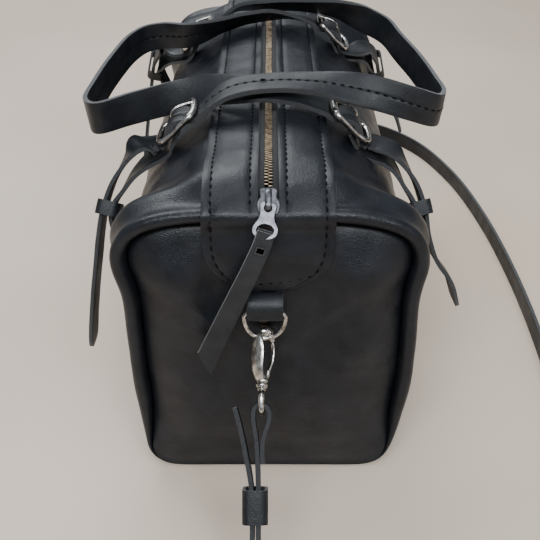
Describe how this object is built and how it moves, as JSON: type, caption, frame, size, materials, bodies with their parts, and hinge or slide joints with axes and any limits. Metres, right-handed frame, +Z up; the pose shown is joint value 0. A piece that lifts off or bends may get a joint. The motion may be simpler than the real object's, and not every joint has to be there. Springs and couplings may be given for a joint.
{
  "type": "leather weekender bag",
  "caption": "Soft leather travel bag with a full-length top zip, two buckled carrying handles and a clip-on shoulder strap.",
  "frame": {"origin": "on the table under the middle of the bag's base", "axes": "+Y along the bag's length, away from the end where the zip stops; +Z up"},
  "size_m": [0.4148, 0.8696, 0.2906],
  "materials": {
    "body_leather": "grained, semi-matt",
    "strap_leather": "smooth, waxed, with raw edges",
    "board": "stiff lining board",
    "tape": "woven",
    "teeth": "antique",
    "gunmetal": "dark, worn",
    "nickel": "old nickel, brushed"
  },
  "bodies": {
    "bag": {"base_panel": "body_leather", "base_board": "board", "side_panel_left": "body_leather", "side_panel_right": "body_leather", "zip_tape_left": "tape", "zip_tape_right": "tape", "zip_chain_left": "teeth", "zip_chain_right": "teeth", "end_panel_front": "body_leather", "end_panel_rear": "body_leather", "welt_front": "body_leather", "welt_rear": "body_leather", "top_strip": "body_leather", "anchor_strap_front_left": "strap_leather", "anchor_strap_front_right": "strap_leather", "anchor_strap_rear_left": "strap_leather", "anchor_strap_rear_right": "strap_leather", "handle_tail_front_left": "strap_leather", "handle_tail_front_right": "strap_leather", "handle_tail_rear_left": "strap_leather", "handle_tail_rear_right": "strap_leather", "keeper_front_left": "strap_leather", "keeper_front_right": "strap_leather", "keeper_rear_left": "strap_leather", "keeper_rear_right": "strap_leather", "ring_tab_front": "strap_leather", "ring_tab_rear": "strap_leather", "tab_rivet_front": "teeth", "tab_rivet_rear": "teeth", "shoulder_strap": "strap_leather"},
    "handle_left": {"handle_strap_left": "strap_leather", "buckle_front_left": "nickel", "buckle_rear_left": "nickel"},
    "handle_right": {"handle_strap_right": "strap_leather", "buckle_front_right": "nickel", "buckle_rear_right": "nickel"},
    "prong_front_left": {"prong_front_left": "nickel"},
    "prong_front_right": {"prong_front_right": "nickel"},
    "prong_rear_left": {"prong_rear_left": "nickel"},
    "prong_rear_right": {"prong_rear_right": "nickel"},
    "zip_slider": {"zip_slider": "gunmetal"},
    "zip_puller": {"zip_puller": "gunmetal", "pull_tab": "strap_leather"},
    "ring_front": {"d_ring_front": "nickel", "hook_body_front": "nickel", "strap_end_front": "strap_leather", "strap_free_end": "strap_leather", "strap_buckle": "nickel"},
    "ring_rear": {"d_ring_rear": "nickel", "hook_body_rear": "nickel", "strap_end_rear": "strap_leather"},
    "hook_gate_front": {"hook_gate_front": "nickel"},
    "hook_eye_front": {"hook_eye_front": "nickel"},
    "hook_gate_rear": {"hook_gate_rear": "nickel"},
    "hook_eye_rear": {"hook_eye_rear": "nickel"},
    "strap_keeper": {"strap_keeper": "strap_leather"}
  },
  "joints": [
    {"name": "handle_left_swing", "type": "hinge", "parent": "bag", "child": "handle_left", "pos_m": [-0.1, 0, 0.226], "axis": [0, -1, 0], "range_deg": [0, 42]},
    {"name": "handle_right_swing", "type": "hinge", "parent": "bag", "child": "handle_right", "pos_m": [0.097, 0, 0.226], "axis": [0, 1, 0], "range_deg": [0, 42]},
    {"name": "prong_front_left_swing", "type": "hinge", "parent": "handle_left", "child": "prong_front_left", "pos_m": [-0.07049, -0.1015, 0.25049], "axis": [0, -1, 0], "range_deg": [0, 70]},
    {"name": "prong_front_right_swing", "type": "hinge", "parent": "handle_right", "child": "prong_front_right", "pos_m": [0.06299, -0.1015, 0.25149], "axis": [0, 1, 0], "range_deg": [0, 14]},
    {"name": "prong_rear_left_swing", "type": "hinge", "parent": "handle_left", "child": "prong_rear_left", "pos_m": [-0.07049, 0.1015, 0.25049], "axis": [0, -1, 0], "range_deg": [0, 70]},
    {"name": "prong_rear_right_swing", "type": "hinge", "parent": "handle_right", "child": "prong_rear_right", "pos_m": [0.06299, 0.1015, 0.25149], "axis": [0, 1, 0], "range_deg": [0, 14]},
    {"name": "zip_travel", "type": "slide", "parent": "bag", "child": "zip_slider", "axis": [0, 0.9991, 0.0424], "range_m": [0, 0.33], "deforming": ["top_strip", "zip_tape_left", "zip_tape_right", "zip_chain_left", "zip_chain_right", "pull_tab"]},
    {"name": "puller_swing", "type": "hinge", "parent": "zip_slider", "child": "zip_puller", "pos_m": [0, -0.21745, 0.2527], "axis": [-1, 0, 0], "range_deg": [0, 110]},
    {"name": "ring_front_swing", "type": "hinge", "parent": "bag", "child": "ring_front", "pos_m": [-0.0025, -0.2328, 0.171], "axis": [-1, 0, 0], "range_deg": [0, 30]},
    {"name": "gate_front_open", "type": "hinge", "parent": "ring_front", "child": "hook_gate_front", "pos_m": [0.00018, -0.25372, 0.12779], "axis": [0.6691, -0.5291, 0.5218], "range_deg": [0, 18], "stiffness_Nm_per_rad": 0.02},
    {"name": "swivel_front_turn", "type": "hinge", "parent": "ring_front", "child": "hook_eye_front", "pos_m": [-0.0048, -0.2693, 0.11732], "axis": [0, -0.7022, -0.712], "range_deg": [-20, 20], "deforming": ["strap_end_front"]},
    {"name": "ring_rear_swing", "type": "hinge", "parent": "bag", "child": "ring_rear", "pos_m": [-0.0025, 0.2328, 0.171], "axis": [1, 0, 0], "range_deg": [0, 30]},
    {"name": "gate_rear_open", "type": "hinge", "parent": "ring_rear", "child": "hook_gate_rear", "pos_m": [0.00018, 0.25372, 0.12779], "axis": [-0.6691, -0.5291, -0.5218], "range_deg": [0, 18], "stiffness_Nm_per_rad": 0.02},
    {"name": "swivel_rear_turn", "type": "hinge", "parent": "ring_rear", "child": "hook_eye_rear", "pos_m": [-0.0048, 0.2693, 0.11732], "axis": [0, 0.7022, -0.712], "range_deg": [-20, 20], "deforming": ["strap_end_rear"]},
    {"name": "keeper_slide", "type": "slide", "parent": "ring_front", "child": "strap_keeper", "axis": [0, -0.7022, -0.712], "range_m": [-0.012, 0.012]}
  ],
  "couplings": [
    {"joint": "handle_right_swing", "follows": "handle_left_swing", "ratio": 1}
  ]
}
